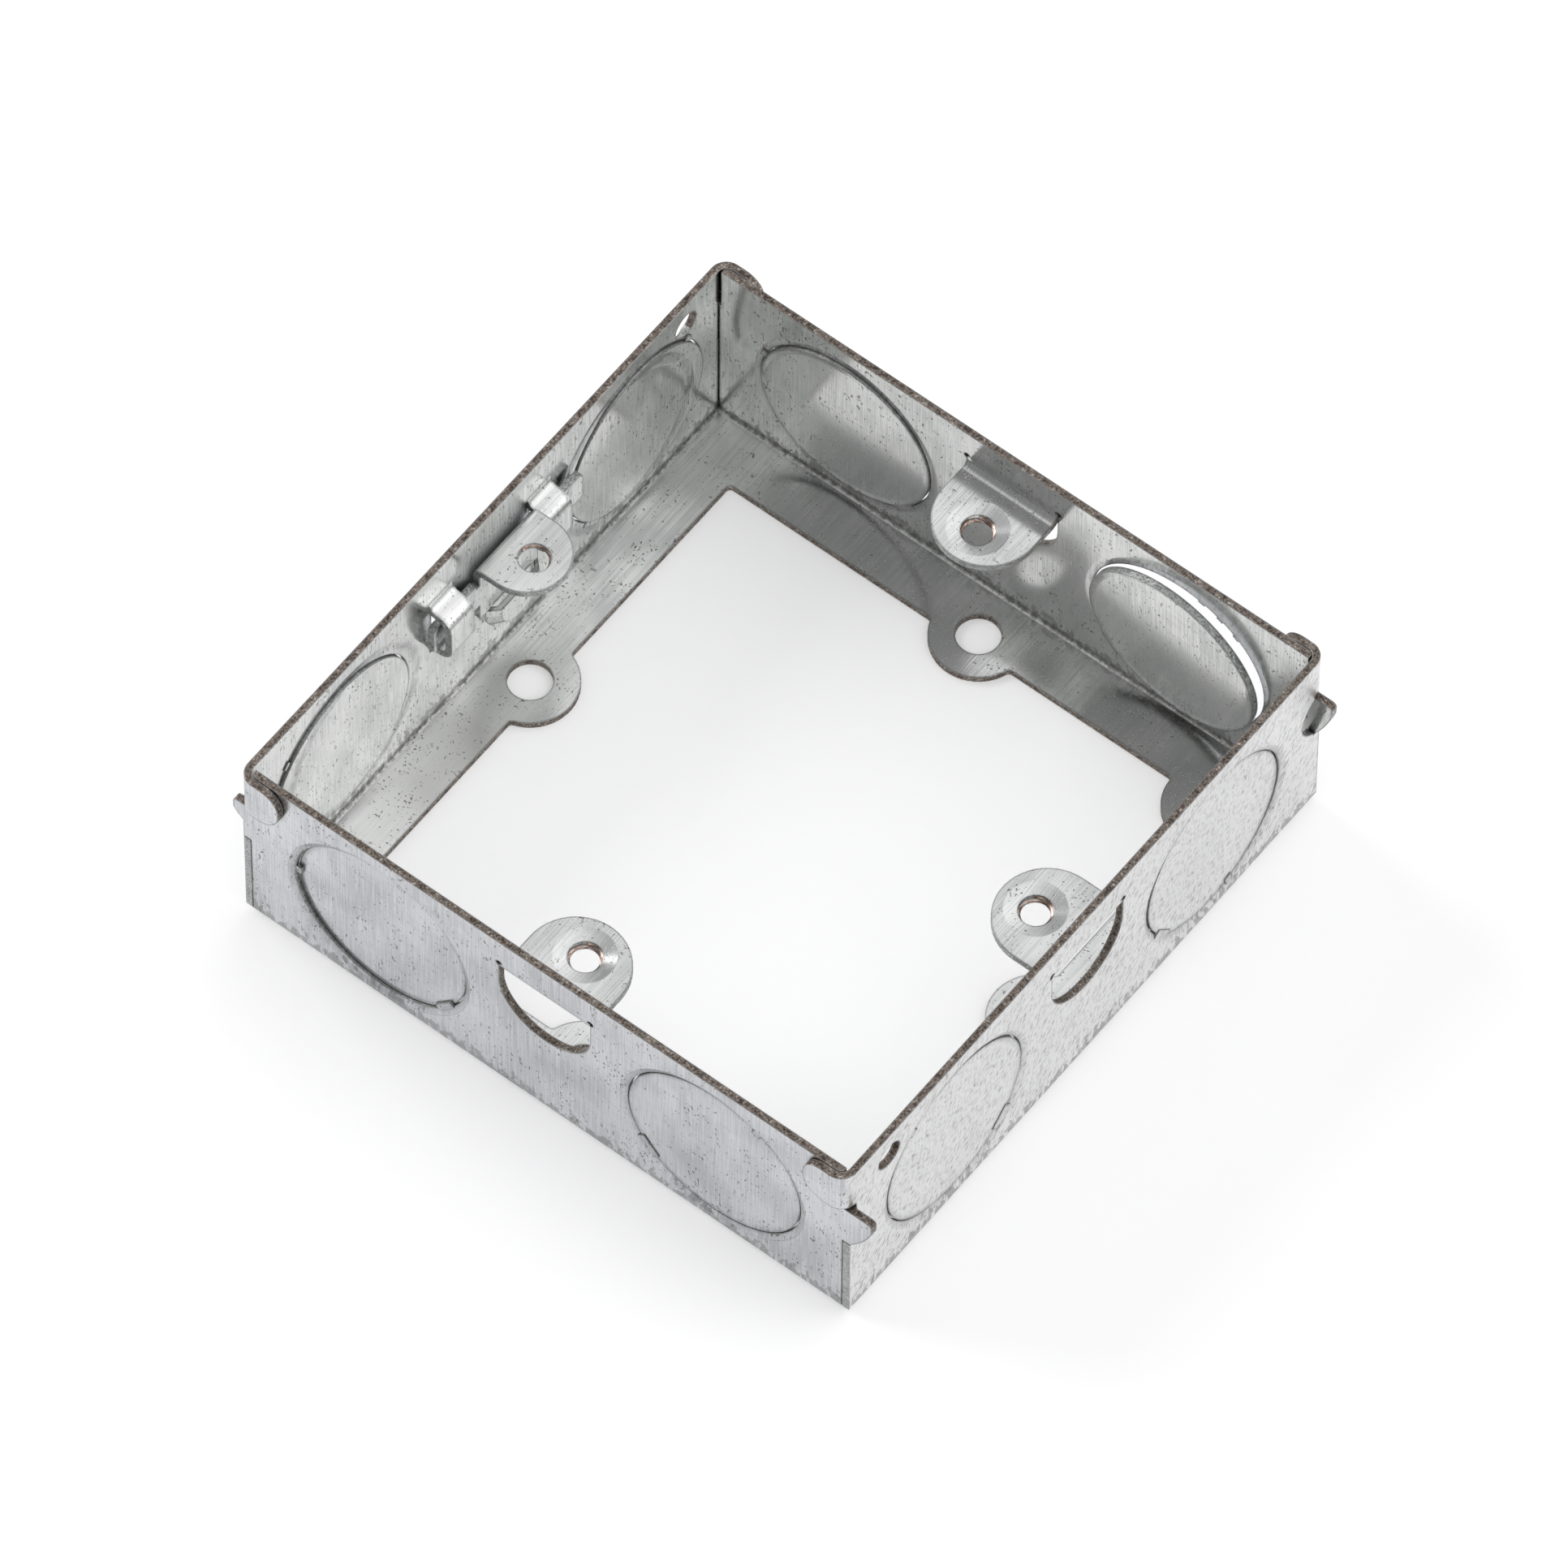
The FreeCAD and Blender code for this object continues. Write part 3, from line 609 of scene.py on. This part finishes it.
@dataclass(frozen=True)
class ShearedSteel:
    """Cut edge of galvanised strip: sheared bright, then torn and lightly rusted.

    Attributes:
        name: the material's name.
        torn: colour of the rough, broken part.
        sheared: colour of the smooth, cut part.
        fleck: colour of the bright specks.
        rolled: colour of the zinc rolled over the edge's two borders.
        wear: how far the edge looks rubbed round, in mm.
    """

    name: str = "sheared steel edge"
    torn: str = "#4A423D"
    sheared: str = "#80766E"
    fleck: str = "#C6C0B8"
    rolled: str = "#B9B7B3"
    wear: float = 0.28

    def build(self) -> bpy.types.Material:
        """Build the material.

        Returns:
            The finished material.
        """
        g = FinishGraph(self.name, wear=self.wear)
        grain = g.noise((0.22, 0.22, 0.22), 3.0)
        drag = g.noise((0.9, 0.9, 0.9), 2.0, 5.0)
        value = g.math("ADD", g.math("MULTIPLY", grain, 0.7), g.math("MULTIPLY", drag, 0.3))
        dark = g.blend(g.ramp(value, 0.38, 0.54), self.torn, self.sheared)
        colour = g.blend(g.ramp(value, 0.56, 0.68), dark, self.fleck)
        colour = g.blend(g.math("MULTIPLY", g.edge_line(0.3), 0.7), colour, self.rolled)
        rough = g.ramp(value, 0.4, 0.65, 0.62, 0.38)
        return g.finish(colour, rough, grain, 0.85, 0.05)


@dataclass(frozen=True)
class CutThread:
    """Thread cut in mild steel after coating: bright, with a warm film of oil.

    Attributes:
        name: the material's name.
        oiled: colour of the metal under the oil.
        bright: colour of the freshly cut metal.
    """

    name: str = "cut steel thread"
    oiled: str = "#83695C"
    bright: str = "#B9ADA6"

    def build(self) -> bpy.types.Material:
        """Build the material.

        Returns:
            The finished material.
        """
        g = FinishGraph(self.name)
        turn = g.noise((0.5, 0.5, 0.1), 2.0)
        colour = g.blend(g.ramp(turn, 0.38, 0.62), self.oiled, self.bright)
        rough = g.ramp(turn, 0.3, 0.7, 0.32, 0.2)
        return g.finish(colour, rough, turn, 1.0, 0.01)


def piece_from(bm: bmesh.types.BMesh, name: str, material: bpy.types.Material,
               body: Body) -> bpy.types.Object:
    """Turn a bmesh into a piece of the object.

    Args:
        bm: the mesh, in metres and in place; it is freed.
        name: the piece's name.
        material: its finish.
        body: the CAD body it rides on.

    Returns:
        The new object.
    """
    bmesh.ops.recalc_face_normals(bm, faces=bm.faces)
    mesh = bpy.data.meshes.new(name)
    bm.to_mesh(mesh)
    bm.free()
    for polygon in mesh.polygons:
        polygon.use_smooth = True
    mesh.set_sharp_from_angle(angle=math.radians(35))
    mesh.materials.append(material)
    piece = bpy.data.objects.new(name, mesh)
    bpy.context.scene.collection.objects.link(piece)
    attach(piece, body.value)
    LOG.info("%s: %d faces on %s", name, len(mesh.polygons), body.value)
    return piece


@dataclass
class PressedSheet:
    """A CAD node of sheet metal, dressed face by face.

    Attributes:
        node: the CAD node's name.
        sheet: finish of the rolled faces.
        edge: finish of the cut edges.
        smeared: finish of the cut edges inside the zones.
        zones: where the press dragged zinc over the cut, and at the wide notch partly a painted highlight.
        thickest: a face with more metal than this behind it is a cut edge, in mm.
        probe: how far behind a face the search starts, in mm.
        drawn: where the sheet is stretched but not cut.
        screws: axes of the holes whose sheet is drawn down, as x and y in mm.
        dish: how far round such a hole the drawn sheet reaches, in mm.
    """

    node: str
    sheet: bpy.types.Material
    edge: bpy.types.Material
    smeared: bpy.types.Material
    zones: tuple[Zone, ...]
    thickest: float = 1.15
    probe: float = 0.002
    drawn: tuple[Zone, ...] = ()
    screws: tuple[tuple[float, float], ...] = ()
    dish: float = 3.3

    def dress(self) -> None:
        """Give the rolled faces and the cut edges their own finishes."""
        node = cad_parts[self.node]
        mesh = node.data
        mesh.materials.clear()
        for material in (self.sheet, self.edge, self.smeared):
            mesh.materials.append(material)
        tree = BVHTree.FromPolygons([v.co for v in mesh.vertices], [list(p.vertices) for p in mesh.polygons])
        cut = 0
        for polygon in mesh.polygons:
            inward = -polygon.normal
            start = polygon.center + inward * self.probe * MM
            behind = tree.ray_cast(start, inward)[3]
            is_cut = (behind is None or behind > self.thickest * MM) and not self.is_dished(polygon)
            place = polygon.center / MM
            is_cut = is_cut and not any(zone.holds(place) for zone in self.drawn)
            is_smeared = any(zone.holds(place) for zone in self.zones)
            polygon.material_index = (2 if is_smeared else 1) if is_cut else 0
            cut += int(is_cut)
        LOG.info("%s: %d of %d faces are cut edges", self.node, cut, len(mesh.polygons))

    def is_dished(self, polygon: bpy.types.MeshPolygon) -> bool:
        """Whether a face belongs to the sheet drawn down round a tapped hole.

        Args:
            polygon: the face.

        Returns:
            True beside one of the holes, where the face looks up.
        """
        place = polygon.center.xy / MM
        near = any((place - Vector(screw)).length < self.dish for screw in self.screws)
        return near and polygon.normal.z > 0.2


@dataclass
class TappedThread:
    """The thread that stands in from a tapped hole's wall: metric, 3.5 mm.

    Attributes:
        name: the piece's name.
        centre: the hole's axis, x and y, in mm.
        bottom: where the first ridge starts, in mm.
        top: where the last ridge ends, in mm.
        body: the body that the hole is in.
        slot: the record's slot; not used.
        root: radius of the ridge's foot, inside the hole's wall, in mm.
        crest: radius of the ridge's top, in mm.
        pitch: rise of one turn, in mm.
        steps: sections in one turn.
        foot_share: half the ridge's foot, as a share of the pitch.
        tip_share: half the ridge's flat top, as a share of the pitch.
        least_turns: turns that even a thin sheet's thread shows.
    """

    name: str
    centre: tuple[float, float]
    bottom: float
    top: float
    body: Body = Body.BOX
    slot: Slot = Slot.SHEET
    root: float = 1.74
    crest: float = 1.45
    pitch: float = 0.6
    steps: int = 40
    foot_share: float = 0.42
    tip_share: float = 0.08
    least_turns: float = 0.5

    def build(self, material: bpy.types.Material) -> bpy.types.Object:
        """Spin one ridge section up the hole.

        Args:
            material: the thread's finish.

        Returns:
            The thread.
        """
        foot = self.pitch * self.foot_share
        tip = self.pitch * self.tip_share
        turns = max((self.top - self.bottom - 2 * foot) / self.pitch, self.least_turns)
        steps = round(self.steps * turns)
        x, y = self.centre
        z = self.bottom + foot
        bm = bmesh.new()
        section = [(self.root, z - foot), (self.crest, z - tip), (self.crest, z + tip), (self.root, z + foot)]
        corners = [bm.verts.new(Vector((x + r, y, h)) * MM) for r, h in section]
        edges = [bm.edges.new((corners[i - 1], corners[i])) for i in range(len(corners))]
        bmesh.ops.spin(bm, geom=corners + edges, cent=Vector((x, y, z)) * MM, axis=(0, 0, 1),
                       dvec=(0, 0, self.pitch * turns / steps * MM), angle=2 * math.pi * turns,
                       steps=steps, use_duplicate=False)
        bmesh.ops.holes_fill(bm, edges=[e for e in bm.edges if e.is_boundary], sides=len(section))
        return piece_from(bm, self.name, material, self.body)


# Each softbox: its name, its middle in mm, its width in mm and its power in watts.
SOFTBOXES = (
    ("right softbox", (900.0, 420.0, 420.0), 700.0, 0.8),
    ("left softbox", (-940.0, -150.0, 540.0), 800.0, 6.5),
    ("front fill", (520.0, -900.0, 780.0), 900.0, 1.4),
)


@dataclass
class Studio:
    """Floor, soft light and the photograph's camera.

    The room is brighter towards one side, so that walls at right angles to each
    other mirror different tones.

    Attributes:
        azimuth: camera's direction round the box, in degrees.
        elevation: camera's height above the horizon, in degrees.
        distance: from the camera to its target, in mm.
        roll: the camera's turn about its own axis, in degrees.
        target: the point at the picture's middle, in mm.
        lens: focal length on a 36 mm wide sensor, in mm.
        floor_size: the floor's width and length, in mm.
        floor_colour: of the paper.
        white_lift: what the floor adds for the camera and for mirrors alone.
        bright_side: the direction that the room is brightest in.
        dark_strength: the room's light away from that side.
        bright_strength: the room's light on that side.
    """

    azimuth: float = 37.5716
    elevation: float = 58.3088
    distance: float = 1918.36
    roll: float = 0.4737
    target: tuple[float, float, float] = (0.126, 0.057, 12.5)
    lens: float = 464.7
    floor_size: float = 12000.0
    floor_colour: str = "#EDEDED"
    white_lift: float = 0.31
    bright_side: tuple[float, float, float] = (0.45, 0.55, 0.7)
    dark_strength: float = 0.26
    bright_strength: float = 1.14

    def build(self) -> None:
        """Set up the whole studio."""
        self.world()
        self.floor()
        for softbox in SOFTBOXES:
            self.lamp(*softbox)
        self.camera()

    def world(self) -> None:
        """A white room, brighter to one side, and white behind everything."""
        world = bpy.data.worlds.new("white room")
        world.use_nodes = True
        tree = world.node_tree
        tree.nodes.clear()
        path = add_node(tree, "ShaderNodeLightPath")
        seen = add_node(tree, "ShaderNodeMath", {"operation": "MAXIMUM"},
                        {0: path.outputs["Is Camera Ray"], 1: path.outputs["Is Transmission Ray"]})
        direction = add_node(tree, "ShaderNodeTexCoord")
        towards = add_node(tree, "ShaderNodeVectorMath", {"operation": "DOT_PRODUCT"},
                           {0: direction.outputs["Generated"]})
        towards.inputs[1].default_value = self.bright_side
        strength = add_node(tree, "ShaderNodeMapRange",
                            {"interpolation_type": "SMOOTHSTEP", "From Min": 0.1, "From Max": 1.0,
                             "To Min": self.dark_strength, "To Max": self.bright_strength},
                            {"Value": towards.outputs["Value"]})
        dim = add_node(tree, "ShaderNodeBackground", {"Color": linear("#FDFDFF")},
                       {"Strength": strength.outputs[0]})
        white = add_node(tree, "ShaderNodeBackground", {"Color": (1.0, 1.0, 1.0, 1.0), "Strength": 1.0})
        mix = add_node(tree, "ShaderNodeMixShader",
                       links={0: seen.outputs[0], 1: dim.outputs[0], 2: white.outputs[0]})
        add_node(tree, "ShaderNodeOutputWorld", links={0: mix.outputs[0]})
        bpy.context.scene.world = world

    def floor(self) -> None:
        """A pale matt floor that reads as white and still takes the shadow."""
        bm = bmesh.new()
        bmesh.ops.create_grid(bm, x_segments=1, y_segments=1, size=self.floor_size / 2 * MM)
        mesh = bpy.data.meshes.new("studio_floor")
        bm.to_mesh(mesh)
        bm.free()
        material = bpy.data.materials.new("matt white paper")
        material.use_nodes = True
        tree = material.node_tree
        tree.nodes.clear()
        path = add_node(tree, "ShaderNodeLightPath")
        seen = add_node(tree, "ShaderNodeMath", {"operation": "MAXIMUM"},
                        {0: path.outputs["Is Camera Ray"], 1: path.outputs["Is Glossy Ray"]})
        lift = add_node(tree, "ShaderNodeMapRange", {"To Max": self.white_lift}, {"Value": seen.outputs[0]})
        paper = add_node(tree, "ShaderNodeBsdfDiffuse", {"Color": linear(self.floor_colour)})
        glow = add_node(tree, "ShaderNodeEmission", {"Color": (1.0, 1.0, 1.0, 1.0)},
                        {"Strength": lift.outputs[0]})
        both = add_node(tree, "ShaderNodeAddShader", links={0: paper.outputs[0], 1: glow.outputs[0]})
        add_node(tree, "ShaderNodeOutputMaterial", links={0: both.outputs[0]})
        mesh.materials.append(material)
        floor = bpy.data.objects.new("studio_floor", mesh)
        bpy.context.scene.collection.objects.link(floor)

    def lamp(self, name: str, place: tuple[float, float, float], size: float, power: float) -> None:
        """Hang one square softbox that faces the box.

        Args:
            name: the lamp's name.
            place: its middle, in mm.
            size: its width and height, in mm.
            power: its power in watts.
        """
        data = bpy.data.lights.new(name, "AREA")
        data.shape = "SQUARE"
        data.size = size * MM
        data.energy = power
        lamp = bpy.data.objects.new(name, data)
        lamp.location = Vector(place) * MM
        lamp.rotation_euler = (-lamp.location).to_track_quat("-Z", "Y").to_euler()
        bpy.context.scene.collection.objects.link(lamp)

    def camera(self) -> None:
        """Place the camera as the photograph was taken."""
        a, e, r = (math.radians(v) for v in (self.azimuth, self.elevation, self.roll))
        back = Vector((math.sin(a) * math.cos(e), -math.cos(a) * math.cos(e), math.sin(e)))
        right = (-back).cross(Vector((0, 0, 1))).normalized()
        up = right.cross(-back)
        side = right * math.cos(r) + up * math.sin(r)
        top = up * math.cos(r) - right * math.sin(r)
        data = bpy.data.cameras.new("product camera")
        data.sensor_width = 36.0
        data.lens = self.lens
        data.clip_start = 0.05
        data.clip_end = 50.0
        camera = bpy.data.objects.new("product camera", data)
        axes = Matrix((side, top, back)).transposed().to_4x4()
        camera.matrix_world = Matrix.Translation((Vector(self.target) + back * self.distance) * MM) @ axes
        bpy.context.scene.collection.objects.link(camera)
        bpy.context.scene.camera = camera


def threads() -> Iterable[TappedThread]:
    """The threads of all the tapped holes.

    Yields:
        Each thread, between its hole's two ends.
    """
    for name, screw in zip(("front", "right", "back"), LUG_SCREWS):
        yield TappedThread(f"thread_{name}", screw, bottom=18.62, top=19.93)
    yield TappedThread("thread_earth", (29.8, 29.8), bottom=0.02, top=0.78)
    yield TappedThread("thread_slide", (-31.1, 1.5), bottom=19.52, top=20.28,
                       body=Body.LUG, slot=Slot.LUG, root=1.64, crest=1.38)


def main() -> None:
    """Build and dress every piece, then the studio."""
    logging.basicConfig(level=logging.INFO, format="%(message)s")
    bpy.context.scene.view_settings.view_transform = "Standard"
    sheared = ShearedSteel().build()
    smeared = ShearedSteel("zinc-smeared edge", "#8A8B8A", "#B3B5B4", "#DADBD9", wear=0.4).build()
    PressedSheet("folded_box", ZincSheet("galvanised sheet").build(), sheared, smeared,
                 KNOCKOUTS + STRAPS + LUGS + CORNERS + WIDE_NOTCH_SMEAR_AND_HIGHLIGHT, drawn=SCOOP, screws=LUG_SCREWS).dress()
    PressedSheet("sliding_lug", ZincSheet("zinc plated strip", light="#DADBDE").build(), sheared, smeared,
                 EVERYWHERE).dress()
    cut_thread = CutThread().build()
    for thread in threads():
        thread.build(cut_thread)
    Studio().build()


if __name__ == "__main__":
    main()
